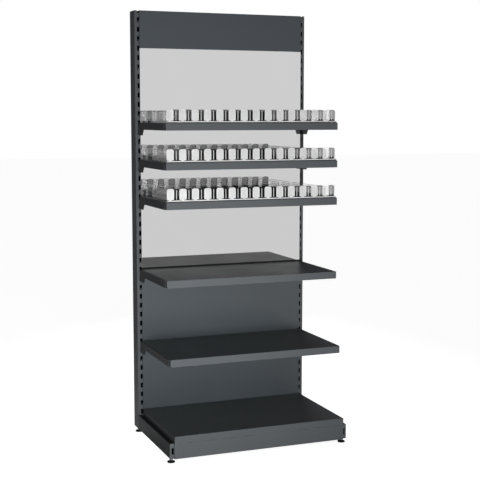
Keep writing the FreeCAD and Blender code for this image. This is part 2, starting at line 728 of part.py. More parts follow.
def make_springs(shelf, top):
    """The row of flat spring rolls, each between its pusher's cheeks."""
    body = doc.addObject("PartDesign::Body", "springs")
    drawing = ring(profile(body, "YZ_Plane"), "spring_radius", "spring_core_radius")
    pad = padded(body, drawing, "track_width - 2 * heel_cheek - 2 * spring_gap")
    repeated(body, [pad], "N_Axis", "lane_count", "lane_pitch")
    place(body, "-tray_half + first_divider + lane_pitch / 2 - track_width / 2 + heel_cheek + spring_gap",
          "paddle_y + paddle_sheet + spring_gap + spring_radius",
          f"{top} + pusher_floor + heel_floor + spring_gap + spring_radius")
    return node(f"pusher_springs_{shelf}", body)


def make_back():
    """The two lower panels, the mirror with its carriers and the header panel."""
    make_panel("lower_back_panel", "panel_y", "base_steps", "low_panel_steps")
    make_panel("upper_back_panel", "panel_y", "base_steps + low_panel_steps", "low_panel_steps")
    make_panel("lower_mirror_carrier", "carrier_y", "mirror_foot_steps", "carrier_steps")
    make_panel("middle_mirror_carrier", "carrier_y", "mirror_foot_steps + carrier_steps", "carrier_steps")
    make_panel("upper_mirror_carrier", "carrier_y", "mirror_foot_steps + 2 * carrier_steps",
               "top_carrier_steps")
    make_mirror()
    make_panel("header_panel", "panel_y", "header_foot_steps", "header_steps", "header_lug_steps")


def make_shelves():
    """The five hung shelves with their brackets, and the pusher system of the upper three."""
    for shelf, steps in (UPPER_SHELVES | PLAIN_SHELVES).items():
        reach = "low_shelf_reach" if shelf == "5" else "shelf_reach"
        make_tray(f"shelf_{shelf}", tray_level(steps), f"face_y - {reach}", "lip_height", "tray_height")
        for side, sign in SIDES.items():
            make_bracket(f"shelf_{shelf}_{side}_bracket", sign, steps, reach)
    for shelf, steps in UPPER_SHELVES.items():
        for make in (make_front_rail, make_stops, make_dividers, make_tracks, make_pushers, make_springs):
            make(shelf, tray_level(steps))


def make_base():
    """Base beams, base shelf, plinth and feet."""
    for side, sign in SIDES.items():
        make_base_beam(side, sign)
    make_tray("base_shelf", "beam_top + base_lip", "face_y - base_reach", "base_lip", "base_lip")
    make_plinth()
    make_feet()


def check_document():
    """Stop if any object failed or any sub-part has a bad shape."""
    doc.recompute()
    for thing in doc.Objects:
        if {"Invalid", "Error"} & set(thing.State):
            raise RuntimeError(f"{thing.Label} did not compute: {thing.State}")
    for thing in nodes:
        if thing.Shape.isNull() or not thing.Shape.isValid() or not thing.Shape.Solids:
            raise RuntimeError(f"{thing.Label} has a bad shape")


def write_parts():
    """Write each sub-part to its own file."""
    os.makedirs("parts", exist_ok=True)
    for thing in nodes:
        thing.Shape.exportStep(f"parts/{thing.Label}.step")
        print(f"{thing.Label}: {len(thing.Shape.Solids)} solids, {thing.Shape.Volume / 1000:.1f} cm3")
    print(f"{len(nodes)} nodes")


fill_sheet()
for post_side, post_sign in SIDES.items():
    make_post(post_side, post_sign)
for rail_name, rail_steps in RAIL_STEPS.items():
    make_cross_rail(f"{rail_name}_cross_rail", rail_steps)
make_bolts()
make_back()
make_shelves()
make_base()
check_document()
write_parts()
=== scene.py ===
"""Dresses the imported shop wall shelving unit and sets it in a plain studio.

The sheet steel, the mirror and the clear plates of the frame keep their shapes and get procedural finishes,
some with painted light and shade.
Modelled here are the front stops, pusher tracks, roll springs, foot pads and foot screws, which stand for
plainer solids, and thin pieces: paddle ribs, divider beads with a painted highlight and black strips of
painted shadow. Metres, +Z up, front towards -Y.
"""

import json
import logging
import math
from dataclasses import dataclass
from enum import Enum
from typing import Any, Callable, Iterable

import bmesh
import bpy
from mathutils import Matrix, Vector


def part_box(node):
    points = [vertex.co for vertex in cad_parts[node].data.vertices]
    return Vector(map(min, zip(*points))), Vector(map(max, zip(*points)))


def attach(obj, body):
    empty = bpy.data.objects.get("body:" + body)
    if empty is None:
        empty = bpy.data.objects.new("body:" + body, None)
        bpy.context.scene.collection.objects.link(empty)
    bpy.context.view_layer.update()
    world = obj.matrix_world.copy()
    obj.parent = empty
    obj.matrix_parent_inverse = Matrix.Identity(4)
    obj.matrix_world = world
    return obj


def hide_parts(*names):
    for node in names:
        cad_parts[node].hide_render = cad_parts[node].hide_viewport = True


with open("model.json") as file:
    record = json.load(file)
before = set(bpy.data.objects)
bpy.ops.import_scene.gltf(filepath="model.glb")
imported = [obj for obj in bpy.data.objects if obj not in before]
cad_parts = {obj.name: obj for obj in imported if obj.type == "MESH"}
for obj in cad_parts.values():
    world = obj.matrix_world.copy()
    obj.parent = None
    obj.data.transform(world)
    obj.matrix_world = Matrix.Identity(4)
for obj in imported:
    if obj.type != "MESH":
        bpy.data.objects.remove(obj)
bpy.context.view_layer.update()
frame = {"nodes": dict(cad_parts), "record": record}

MM = 0.001
PUSHER_SHELVES = (1, 2, 3)
FOOT_CORNERS = ("front_left", "front_right", "rear_left", "rear_right")
# Heights of the black strips of painted shadow under the front rails and the mirror
RAIL_STRIP_HEIGHT = 4 * MM
MIRROR_STRIP_HEIGHT = 10 * MM
# Edges that turn by more than this stay sharp under smooth shading
SHARP_ANGLE = math.radians(32)
# A depth that no place on a piece is within, and one that every place is within
NOWHERE = -1.0
EVERYWHERE = 1.0

log = logging.getLogger("shelving")

Triple = tuple[float, float, float]
Colour = Triple
Point = tuple[float, float]
Placing = Callable[[float, float, float], Vector]
Tree = bpy.types.NodeTree
Node = bpy.types.Node
Socket = bpy.types.NodeSocket
Shape = bmesh.types.BMesh
Piece = bpy.types.Object
Material = bpy.types.Material

WHITE: Colour = (1.0, 1.0, 1.0)
VECTOR = "NodeSocketVector"
FLOAT = "NodeSocketFloat"
COLOUR = "NodeSocketColor"
GEOMETRY = "NodeSocketGeometry"


class Slot(Enum):
    """The record's material slots."""

    STEEL = "anthracite_steel"
    MIRROR = "mirror_glass"
    CLEAR = "clear_plastic"
    SPRING = "spring_steel"
    BLACK = "black_plastic"
    ZINC = "zinc_steel"


def fill(tree: Tree, node: Node, values: dict[Any, Any]) -> Node:
    """Set a node's inputs.

    Args:
        tree: the node's tree.
        node: the node.
        values: its inputs by name or number, each a constant or an output socket to link.

    Returns:
        The same node.
    """
    for name, value in values.items():
        if isinstance(value, Socket):
            tree.links.new(value, node.inputs[name])
        else:
            node.inputs[name].default_value = value
    return node


def add(tree: Tree, kind: str, values: dict[Any, Any] | None = None, **settings: Any) -> Node:
    """Add a node to a tree.

    Args:
        tree: the node tree that gets the node.
        kind: the node's type.
        values: its inputs, as fill takes them.
        settings: the node's own properties.

    Returns:
        The new node.
    """
    made = tree.nodes.new(kind)
    for name, value in settings.items():
        setattr(made, name, value)
    return fill(tree, made, values or {})


def calc(tree: Tree, operation: str, *terms: Any) -> Socket:
    """Add a math node to a tree, with numbers or sockets as its terms, and give its result."""
    return add(tree, "ShaderNodeMath", dict(enumerate(terms)), operation=operation).outputs[0]


def vector_calc(tree: Tree, operation: str, *terms: Any) -> Any:
    """Add a vector math node to a tree, with vectors or sockets as its terms, and give its outputs."""
    return add(tree, "ShaderNodeVectorMath", dict(enumerate(terms)), operation=operation).outputs


def axes_of(tree: Tree, vector: Socket) -> Any:
    """The X, Y and Z sockets of a vector."""
    return add(tree, "ShaderNodeSeparateXYZ", {0: vector}).outputs


def overlaid(tree: Tree, mask: Socket, under: Any, over: Any) -> Socket:
    """Lay one colour over another where a mask is one, and give the resulting colour."""
    # A Mix node names its number and colour sockets alike, so here they go by their places
    return add(tree, "ShaderNodeMix", {0: mask, 6: under, 7: over}, data_type="RGBA").outputs[2]


def opaque(colour: Colour) -> tuple[float, float, float, float]:
    """A colour with full alpha."""
    return (*colour, 1.0)


class Effects:
    """Shader node groups that several finishes share, each built once."""

    # The broken line of lighter edges, partly a thinner coat and partly a painted highlight
    edge_break_scale: float = 22.0
    edge_break_detail: float = 3.0
    edge_break_cut: float = 0.48

    def __init__(self) -> None:
        """Build the groups."""
        self.grain = self._grain()
        self.drift = self._drift()
        self.places = self._places()

    @staticmethod
    def _group(name: str, inputs: dict[str, str], outputs: dict[str, str]) -> tuple[Tree, Any, Any]:
        """Make an empty group.

        Args:
            name: the group's name.
            inputs: socket types by input name.
            outputs: socket types by output name.

        Returns:
            The tree, the sockets that it is given and the sockets that it puts out.
        """
        tree = bpy.data.node_groups.new(name, "ShaderNodeTree")
        for side, sockets in (("INPUT", inputs), ("OUTPUT", outputs)):
            for label, kind in sockets.items():
                tree.interface.new_socket(name=label, in_out=side, socket_type=kind)
        return tree, tree.nodes.new("NodeGroupInput").outputs, tree.nodes.new("NodeGroupOutput").inputs

    @staticmethod
    def _noise(tree: Tree, given: Any, detail: float, roughness: float) -> Socket:
        """Noise over a surface.

        Args:
            tree: the group's tree.
            given: the group's inputs, of which Position and Cell are used.
            detail: the noise's detail.
            roughness: how strong the detail is.

        Returns:
            A value about one half.
        """
        scale = calc(tree, "DIVIDE", 1.0, given["Cell"])
        noise = add(tree, "ShaderNodeTexNoise", {
            "Vector": given["Position"], "Scale": scale, "Detail": detail, "Roughness": roughness})
        return noise.outputs[0]

    def _grain(self) -> Tree:
        """The fine orange peel of a sprayed or moulded surface, as a height."""
        tree, given, result = self._group(
            "fine_grain", {"Position": VECTOR, "Cell": FLOAT}, {"Height": FLOAT})
        tree.links.new(self._noise(tree, given, detail=2.0, roughness=0.45), result["Height"])
        return tree

    def _drift(self) -> Tree:
        """A slow change of tone and gloss over a surface, as handling and spraying leave it."""
        tree, given, result = self._group(
            "tone_drift",
            {"Position": VECTOR, "Cell": FLOAT, "Color": COLOUR, "Span": FLOAT, "Roughness": FLOAT,
             "Roughness Span": FLOAT},
            {"Color": COLOUR, "Roughness": FLOAT})
        noise = self._noise(tree, given, detail=4.0, roughness=0.6)
        swing = calc(tree, "MULTIPLY", calc(tree, "SUBTRACT", noise, 0.5), 2.0)
        gain = calc(tree, "ADD", 1.0, calc(tree, "MULTIPLY", swing, given["Span"]))
        toned = add(tree, "ShaderNodeVectorMath", {0: given["Color"], "Scale": gain}, operation="SCALE")
        dulling = calc(tree, "MULTIPLY", swing, given["Roughness Span"])
        gloss = calc(tree, "ADD", given["Roughness"], dulling)
        tree.links.new(toned.outputs[0], result["Color"])
        tree.links.new(gloss, result["Roughness"])
        return tree

    def _places(self) -> Tree:
        """Places on a piece by its box: edges lighter in a broken line, where the coat is thin and as a
        painted highlight; parts painted dark as shade; and the front plate.
        """
        tree, given, result = self._group(
            "piece_places",
            {"Position": VECTOR, "Low": VECTOR, "High": VECTOR, "Width": FLOAT, "Wall": FLOAT,
             "Ends": FLOAT, "Rear": FLOAT, "Plate": FLOAT},
            {"Edge Highlight": FLOAT, "Painted Shade": FLOAT, "Plate": FLOAT})
        position = given["Position"]
        from_low = vector_calc(tree, "SUBTRACT", position, given["Low"])[0]
        to_high = vector_calc(tree, "SUBTRACT", given["High"], position)[0]
        nearest = axes_of(tree, vector_calc(tree, "MINIMUM", from_low, to_high)[0])
        close = [calc(tree, "LESS_THAN", axis, given["Width"]) for axis in nearest]
        faces = calc(tree, "ADD", calc(tree, "ADD", close[0], close[1]), close[2])
        # A place near two or more faces of the box is on an edge
        on_edge = calc(tree, "GREATER_THAN", faces, 1.5)
        # Edges a little lighter in a broken line: partly a thinner coat, partly a painted highlight
        edge_noise = add(tree, "ShaderNodeTexNoise",
                  {"Vector": position, "Scale": self.edge_break_scale, "Detail": self.edge_break_detail})
        broken = calc(tree, "GREATER_THAN", edge_noise.outputs[0], self.edge_break_cut)
        tree.links.new(calc(tree, "MULTIPLY", on_edge, broken), result["Edge Highlight"])
        # Painted shade: the inside of a tube, the ends of a piece and its rear within the given depths are
        # darkened
        deep = calc(tree, "MINIMUM", nearest["X"], nearest["Y"])
        bore = calc(tree, "GREATER_THAN", deep, given["Wall"])
        ends = calc(tree, "LESS_THAN", nearest["X"], given["Ends"])
        rear = calc(tree, "LESS_THAN", axes_of(tree, to_high)["Y"], given["Rear"])
        tree.links.new(calc(tree, "MAXIMUM", bore, calc(tree, "MAXIMUM", ends, rear)), result["Painted Shade"])
        plate = calc(tree, "LESS_THAN", axes_of(tree, from_low)["Y"], given["Plate"])
        tree.links.new(plate, result["Plate"])
        return tree

    def toned(self, tree: Tree, position: Socket, finish: "Finish") -> Node:
        """Place the tone drift in a material, with the values of its finish."""
        return add(tree, "ShaderNodeGroup", {
            "Position": position, "Cell": finish.tone_cell, "Color": opaque(finish.colour),
            "Span": finish.tone_span, "Roughness": finish.roughness, "Roughness Span": finish.gloss_span,
        }, node_tree=self.drift)

    def bumped(self, tree: Tree, position: Socket, cell: float, depth: float, strength: float) -> Socket:
        """Place the fine grain in a material, with its size, height and strength, and give the normal."""
        grain = add(tree, "ShaderNodeGroup", {"Position": position, "Cell": cell}, node_tree=self.grain)
        return add(tree, "ShaderNodeBump", {"Height": grain.outputs["Height"], "Distance": depth,
                                            "Strength": strength}).outputs[0]


def emptied(owner: Any) -> Tree:
    """Empty the node tree of a material or a world.

    Args:
        owner: the material or world.

    Returns:
        The tree.
    """
    owner.use_nodes = True
    owner.node_tree.nodes.clear()
    return owner.node_tree


def in_scene(name: str, data: Any) -> Piece:
    """Put a new object in the scene.

    Args:
        name: the object's name.
        data: its mesh, lamp or camera.

    Returns:
        The object.
    """
    made = bpy.data.objects.new(name, data)
    bpy.context.scene.collection.objects.link(made)
    return made


def blank_material(name: str) -> tuple[Material, Tree, Node, Socket]:
    """Make a material with a Principled shader and nothing on it.

    Args:
        name: the material's name.

    Returns:
        The material, its tree, the shader node and the Object coordinates.
    """
    material = bpy.data.materials.new(name)
    tree = emptied(material)
    output = tree.nodes.new("ShaderNodeOutputMaterial")
    shader = tree.nodes.new("ShaderNodeBsdfPrincipled")
    tree.links.new(shader.outputs[0], output.inputs["Surface"])
    position = tree.nodes.new("ShaderNodeTexCoord").outputs["Object"]
    return material, tree, shader, position


@dataclass(frozen=True)
class CoatFinish:
    """Powder coat on sheet steel, with orange peel, slow tone drift and edges a little lighter, partly
    where the coat is thin and partly as a painted highlight.

    What lies deeper than wall in a tube, or within ends or rear of the piece's sides or back, is painted
    dark as shade, and what lies within plate of its front has a colour of its own, the steel's grey where
    the rest is painted shade.
    """

    name: str
    colour: Colour
    roughness: float = 0.42
    specular: float = 0.5
    tone_cell: float = 260 * MM
    tone_span: float = 0.10
    gloss_span: float = 0.10
    peel_cell: float = 1.4 * MM
    peel_depth: float = 0.05 * MM
    peel_strength: float = 0.6
    edge_width: float = 0.9 * MM
    edge_gain: float = 1.5
    shade_gain: float = 0.12
    wall: float = EVERYWHERE
    ends: float = NOWHERE
    rear: float = NOWHERE
    plate: float = NOWHERE
    plate_colour: Colour = (0.0, 0.0, 0.0)

    def _scaled(self, gain: float) -> tuple[float, float, float, float]:
        """The coat's colour, made lighter or darker."""
        return opaque(tuple(channel * gain for channel in self.colour))

    def material(self, effects: Effects, node: str) -> Material:
        """Make the coat of one piece.

        Args:
            effects: the shared groups.
            node: the piece, whose box gives the edges.

        Returns:
            The material.
        """
        material, tree, shader, position = blank_material(f"{self.name}_{node}")
        low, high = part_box(node)
        drift = effects.toned(tree, position, self)
        places = add(tree, "ShaderNodeGroup", {
            "Position": position, "Low": low, "High": high, "Width": self.edge_width, "Wall": self.wall,
            "Ends": self.ends, "Rear": self.rear, "Plate": self.plate}, node_tree=effects.places).outputs
        tone = drift.outputs["Color"]
        # Lighter edges, partly a thinner coat and partly a painted highlight
        tone = overlaid(tree, places["Edge Highlight"], tone, self._scaled(self.edge_gain))
        # Painted shade in tubes, on lugs and hooks inside the posts and on the base shelf's end folds
        tone = overlaid(tree, places["Painted Shade"], tone, self._scaled(self.shade_gain))
        # The front plate keeps the steel's grey where the rest of the beam is painted shade
        tone = overlaid(tree, places["Plate"], tone, opaque(self.plate_colour))
        bump = effects.bumped(tree, position, self.peel_cell, self.peel_depth, self.peel_strength)
        fill(tree, shader, {"Base Color": tone, "Roughness": drift.outputs["Roughness"], "Normal": bump,
                            "Specular IOR Level": self.specular})
        return material


@dataclass(frozen=True)
class BulkFinish:
    """A material that is the same all through, such as plastic from clear through milky to solid black.

    The glow is painted light: an emission that makes a milky piece brighter, though it is no lamp.
    """

    name: str
    colour: Colour
    roughness: float
    metallic: float = 0.0
    transmission: float = 0.0
    refraction: float = 1.49
    tone_cell: float = 60 * MM
    tone_span: float = 0.03
    gloss_span: float = 0.03
    grain_cell: float = 0.8 * MM
    grain_depth: float = 0.0
    grain_strength: float = 1.0
    haze: float = 0.0
    haze_depth: float = 3 * MM
    glow: float = 0.0

    def material(self, effects: Effects, node: str) -> Material:
        """Make the material of one piece.

        Args:
            effects: the shared groups.
            node: the piece that it is for.

        Returns:
            The material.
        """
        material, tree, shader, position = blank_material(f"{self.name}_{node}")
        drift = effects.toned(tree, position, self)
        if self.grain_depth:
            bump = effects.bumped(tree, position, self.grain_cell, self.grain_depth, self.grain_strength)
            tree.links.new(bump, shader.inputs["Normal"])
        # The emission is painted light that brightens milky pieces
        fill(tree, shader, {
            "Base Color": drift.outputs["Color"], "Roughness": drift.outputs["Roughness"],
            "Metallic": self.metallic, "IOR": self.refraction, "Transmission Weight": self.transmission,
            "Subsurface Weight": self.haze, "Subsurface Radius": WHITE, "Subsurface Scale": self.haze_depth,
            "Emission Color": opaque(WHITE), "Emission Strength": self.glow})
        return material


@dataclass(frozen=True)
class MetalFinish(BulkFinish):
    """Bare or plated metal, whose tone and gloss change within millimetres."""

    metallic: float = 1.0
    tone_cell: float = 6 * MM
    tone_span: float = 0.12
    gloss_span: float = 0.08


@dataclass(frozen=True)
class MirrorFinish:
    """Silvered glass with ground edges and a painted back."""

    name: str
    colour: Colour
    edge_colour: Colour
    back_colour: Colour
    roughness: float = 0.012
    gloss_span: float = 0.004
    back_roughness: float = 0.5
    tone_cell: float = 400 * MM
    tone_span: float = 0.015
    turned_away: float = 0.3

    def material(self, effects: Effects, node: str) -> Material:
        """Make the mirror.

        Args:
            effects: the shared groups.
            node: the pane.

        Returns:
            The material.
        """
        material, tree, shader, position = blank_material(f"{self.name}_{node}")
        drift = effects.toned(tree, position, self)
        facing = axes_of(tree, tree.nodes.new("ShaderNodeNewGeometry").outputs["Normal"])["Y"]
        ground = calc(tree, "LESS_THAN", calc(tree, "ABSOLUTE", facing), self.turned_away)
        painted = calc(tree, "GREATER_THAN", facing, self.turned_away)
        tone = overlaid(tree, ground, drift.outputs["Color"], opaque(self.edge_colour))
        tone = overlaid(tree, painted, tone, opaque(self.back_colour))
        dull = calc(tree, "ADD", drift.outputs["Roughness"],
                    calc(tree, "MULTIPLY", painted, self.back_roughness))
        fill(tree, shader, {"Base Color": tone, "Roughness": dull,
                            "Metallic": calc(tree, "SUBTRACT", 1.0, painted)})
        return material


Finish = CoatFinish | BulkFinish | MirrorFinish

# How far the panels' lugs and the brackets' hooks reach into the posts, where they are painted dark as
# shade
LUG_REACH = 7.8 * MM
HOOK_REACH = 6.3 * MM
# The steel is one anthracite paint: the greys of these coats are lighter and darker copies of it, painting
# the light and shade that each part gets
TRAY_GREY = (0.089, 0.098, 0.104)
PANEL_GREY = (0.044, 0.054, 0.061)

TRAY_COAT = CoatFinish("tray_coat", TRAY_GREY, specular=0.23)
# The base shelf's end folds are painted darker as shade
BASE_COAT = CoatFinish("base_coat", TRAY_GREY, specular=0.23, shade_gain=0.3, ends=1.3 * MM)
HEADER_COAT = CoatFinish("header_coat", (0.052, 0.063, 0.073), ends=LUG_REACH)
PANEL_COAT = CoatFinish("panel_coat", PANEL_GREY, roughness=0.34, specular=0.72, ends=LUG_REACH)
RAIL_COAT = CoatFinish("rail_coat", PANEL_GREY)
# The inside of the posts is painted dark as shade
POST_COAT = CoatFinish("post_coat", (0.068, 0.075, 0.082), wall=1.8 * MM)
BRACKET_COAT = CoatFinish("bracket_coat", (0.034, 0.037, 0.040), rear=HOOK_REACH)
# The beam is painted darker as shade on its side; its front plate keeps the trays' grey
SHADED_BEAM_COAT = CoatFinish("beam_shaded_coat", (0.013, 0.016, 0.017), plate=3 * MM, plate_colour=TRAY_GREY)
MIRROR = MirrorFinish("silvered_glass", (0.61, 0.61, 0.61), (0.22, 0.30, 0.27), (0.16, 0.17, 0.18))
CLEAR = BulkFinish("clear_plastic", (0.97, 0.97, 0.97), 0.03, transmission=1.0, refraction=1.17)
SMOKY = BulkFinish("smoky_plastic", (0.30, 0.30, 0.30), 0.05, transmission=1.0, refraction=1.2)
FROSTED = BulkFinish("frosted_plastic", (0.84, 0.85, 0.85), 0.30, transmission=0.20, gloss_span=0.06)
# Milky pieces glow with painted light
MILKY = BulkFinish("milky_plastic", (0.965, 0.97, 0.97), 0.26, haze=1.0, haze_depth=11 * MM, glow=0.12,
                   gloss_span=0.06)
# A grey that paints the highlight along the dividers' upper edges
EDGE = BulkFinish("bead_highlight", (0.30, 0.31, 0.31), 0.25)
BLACK = BulkFinish("black_plastic", (0.012, 0.012, 0.013), 0.48, grain_depth=0.05 * MM)
ZINC = MetalFinish("zinc_plate", (0.62, 0.63, 0.65), 0.30)
SPRING = MetalFinish("spring_strip", (0.50, 0.51, 0.53), 0.24)

SLOT_FINISHES = {Slot.MIRROR: MIRROR, Slot.CLEAR: CLEAR, Slot.SPRING: SPRING, Slot.BLACK: BLACK,
                 Slot.ZINC: ZINC}
# Coats of the steel nodes by how their names end, of which the first that fits counts
STEEL_COATS = {"header_panel": HEADER_COAT, "panel": PANEL_COAT, "carrier": PANEL_COAT, "post": POST_COAT,
               "beam": SHADED_BEAM_COAT, "bracket": BRACKET_COAT, "rail": RAIL_COAT, "base_shelf": BASE_COAT}


class PieceRule:
    """A geometry node tree that makes a piece by a rule, out of a template and some sizes."""

    def __init__(self, name: str, inputs: dict[str, str]) -> None:
        """Make the tree.

        Args:
            name: the tree's name.
            inputs: socket types by input name, with the template's geometry first.
        """
        self.tree = bpy.data.node_groups.new(name, "GeometryNodeTree")
        face = self.tree.interface
        for label, kind in {**inputs, "Finish": "NodeSocketMaterial"}.items():
            face.new_socket(name=label, in_out="INPUT", socket_type=kind)
        face.new_socket(name="Result", in_out="OUTPUT", socket_type=GEOMETRY)
        self.given = self.tree.nodes.new("NodeGroupInput").outputs

    def close(self, geometry: Socket) -> None:
        """End the tree: real geometry with the finish on it.

        Args:
            geometry: what the rule has made.
        """
        real = add(self.tree, "GeometryNodeRealizeInstances", {0: geometry})
        dressed = add(self.tree, "GeometryNodeSetMaterial",
                      {"Geometry": real.outputs[0], "Material": self.given["Finish"]})
        self.tree.links.new(dressed.outputs[0], self.tree.nodes.new("NodeGroupOutput").inputs[0])


class RowRule(PieceRule):
    """Repeats one piece along X at a steady pitch."""

    def __init__(self) -> None:
        """Build the tree."""
        super().__init__("lane_row", {"Piece": GEOMETRY, "Count": "NodeSocketInt", "Pitch": FLOAT})
        step = add(self.tree, "ShaderNodeCombineXYZ", {"X": self.given["Pitch"]})
        line = add(self.tree, "GeometryNodeMeshLine",
                   {"Count": self.given["Count"], "Offset": step.outputs[0]})
        copies = add(self.tree, "GeometryNodeInstanceOnPoints",
                     {"Points": line.outputs[0], "Instance": self.given["Piece"]})
        self.close(copies.outputs[0])


class ThreadRule(PieceRule):
    """Winds a rolled thread round a screw's shank."""

    turn_steps: int = 18
    ridge_sides: int = 5

    def __init__(self) -> None:
        """Build the tree."""
        super().__init__("screw_thread", {
            "Shank": GEOMETRY, "Start": VECTOR, "Radius": FLOAT, "Length": FLOAT, "Turns": FLOAT,
            "Ridge": FLOAT})
        given = self.given
        helix = add(self.tree, "GeometryNodeCurveSpiral",
                    {"Resolution": self.turn_steps, "Rotations": given["Turns"], "Height": given["Length"],
                     "Start Radius": given["Radius"], "End Radius": given["Radius"]})
        section = add(self.tree, "GeometryNodeCurvePrimitiveCircle",
                      {"Resolution": self.ridge_sides, "Radius": given["Ridge"]})
        ridge = add(self.tree, "GeometryNodeCurveToMesh",
                    {"Curve": helix.outputs[0], "Profile Curve": section.outputs[0], "Fill Caps": True})
        seated = add(self.tree, "GeometryNodeTransform",
                     {"Geometry": ridge.outputs[0], "Translation": given["Start"]})
        whole = self.tree.nodes.new("GeometryNodeJoinGeometry")
        for part in (seated.outputs[0], given["Shank"]):
            self.tree.links.new(part, whole.inputs[0])
        self.close(whole.outputs[0])


def mesh_of(name: str, shape: Shape) -> bpy.types.Mesh:
    """Turn a shape into a mesh.

    Args:
        name: the mesh's name.
        shape: the shape, which is freed.

    Returns:
        The mesh.
    """
    mesh = bpy.data.meshes.new(name)
    shape.to_mesh(mesh)
    shape.free()
    return mesh


def piece_of(name: str, shape: Shape) -> Piece:
    """Turn a shape, which is freed, into a piece at the origin with its faces outwards."""
    bmesh.ops.recalc_face_normals(shape, faces=shape.faces)
    return in_scene(name, mesh_of(name, shape))


def soften(mesh: bpy.types.Mesh) -> None:
    """Shade a mesh smoothly between its sharp edges."""
    mesh.polygons.foreach_set("use_smooth", [True] * len(mesh.polygons))
    mesh.set_sharp_from_angle(angle=SHARP_ANGLE)


def ruled_piece(name: str, shape: Shape, rule: PieceRule, values: dict[str, Any]) -> Piece:
    """Run a rule on a shape and keep the plain mesh.

    Args:
        name: the piece's name.
        shape: the template, which is freed.
        rule: the rule.
        values: the rule's inputs by name.

    Returns:
        The piece, at the origin, with no modifier.
    """
    piece = piece_of(name, shape)
    modifier = piece.modifiers.new("rule", "NODES")
    modifier.node_group = rule.tree
    for item in rule.tree.interface.items_tree:
        if item.in_out == "INPUT" and item.name in values:
            modifier[item.identifier] = values[item.name]
    bpy.context.view_layer.update()
    graph = bpy.context.evaluated_depsgraph_get()
    settled = bpy.data.meshes.new_from_object(piece.evaluated_get(graph), depsgraph=graph)
    piece.modifiers.remove(modifier)
    piece.data = settled
    soften(settled)
    return piece


def seat(piece: Piece, body: str, slot: Slot, *nodes: str) -> None:
    """Tie a finished piece to the frame.

    Args:
        piece: the piece.
        body: the body that it rides on.
        slot: the material slot that the piece belongs to; not used.
        nodes: the nodes that it stands for, or none for trim.
    """
    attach(piece, body)
    if nodes:
        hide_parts(*nodes)
    purpose = ", ".join(nodes) or "trim"
    log.info("%s rides on %s for %s: %d faces", piece.name, body, purpose, len(piece.data.polygons))


def quarter(centre: Point, radius: float, start: float, steps: int) -> list[Point]:
    """The points of a rounded corner, anticlockwise from its start angle in a number of steps."""
    angles = [start + math.pi / 2 * step / steps for step in range(steps + 1)]
    return [(centre[0] + radius * math.cos(angle), centre[1] + radius * math.sin(angle))
            for angle in angles]


def from_corner(corner: Vector) -> Placing:
    """Place an outline seen from the front at a corner, with its depth running back."""
    return lambda across, up, back: corner + Vector((across, back, up))


def extruded(outline: list[Point], depth: float, place: Placing) -> Shape:
    """Give an outline a thickness.

    Args:
        outline: the points of the outline.
        depth: the thickness.
        place: turns a point of the outline and a depth into a place in the frame.

    Returns:
        The solid: its first face is the near one and its second the far one.
    """
    solid = bmesh.new()
    near = [solid.verts.new(place(across, up, 0.0)) for across, up in outline]
    far = [solid.verts.new(place(across, up, depth)) for across, up in outline]
    solid.faces.new(near)
    solid.faces.new(list(reversed(far)))
    for index in range(len(outline)):
        following = (index + 1) % len(outline)
        solid.faces.new((near[following], near[index], far[index], far[following]))
    bmesh.ops.recalc_face_normals(solid, faces=solid.faces)
    solid.faces.ensure_lookup_table()
    return solid


def lathed(profile: list[Point], centre: Vector, steps: int) -> Shape:
    """Turn a profile about a vertical axis.

    Args:
        profile: radius and height of each point, from the axis round to the axis.
        centre: the axis' foot.
        steps: the number of flats in a turn.

    Returns:
        The closed turned shape.
    """
    shape = bmesh.new()
    rings = []
    for radius, height in profile:
        ring = []
        for turn in range(1 if radius == 0.0 else steps):
            angle = 2 * math.pi * turn / steps
            spoke = Vector((radius * math.cos(angle), radius * math.sin(angle), height))
            ring.append(shape.verts.new(centre + spoke))
        rings.append(ring)
    for lower, upper in zip(rings, rings[1:]):
        for turn in range(steps):
            following = (turn + 1) % steps
            corners = [lower[turn % len(lower)], lower[following % len(lower)],
                       upper[following % len(upper)], upper[turn % len(upper)]]
            # Where a ring is a single point, its corner is named twice and counts once
            shape.faces.new(list(dict.fromkeys(corners)))
    return shape


def rounded(shape: Shape, faces: Iterable[bmesh.types.BMFace], radius: float) -> None:
    """Round the edges of some faces of a shape."""
    rims = list(dict.fromkeys(edge for face in faces for edge in face.edges))
    bmesh.ops.bevel(shape, geom=rims, offset=radius, segments=2, profile=0.5, affect="EDGES")


def broadest(shape: Shape) -> list[bmesh.types.BMFace]:
    """The two largest faces of a shape."""
    return sorted(shape.faces, key=lambda face: -face.calc_area())[:2]


@dataclass(frozen=True)
class LaneSizes:
    """Sizes of one lane of the pusher system."""

    count: int = 14
    stop_width: float = 38.5 * MM
    stop_corner: float = 11 * MM
    stop_lift: float = 12 * MM
    stop_toe: float = 4 * MM
    stop_neck: float = 14 * MM
    stop_rim: float = 3.2 * MM
    stop_dish: float = 0.7 * MM
    stop_round: float = 0.6 * MM
    stop_steps: int = 8
    paddle_width: float = 38.5 * MM
    rib_width: float = 3.2 * MM
    rib_depth: float = 1.8 * MM
    rib_foot: float = 8 * MM
    rib_top: float = 7 * MM
    rib_round: float = 0.5 * MM
    divider_width: float = 2 * MM
    bead_width: float = 2.6 * MM
    bead_height: float = 1.6 * MM
    bead_round: float = 0.5 * MM
    track_width: float = 30 * MM
    track_runner: float = 5 * MM
    track_groove: float = 2 * MM
    track_floor: float = 1.6 * MM
    spring_core: float = 3 * MM
    spring_turns: int = 4
    spring_facets: int = 16
    spring_strip: float = 0.3 * MM
    spring_width: float = 23.4 * MM


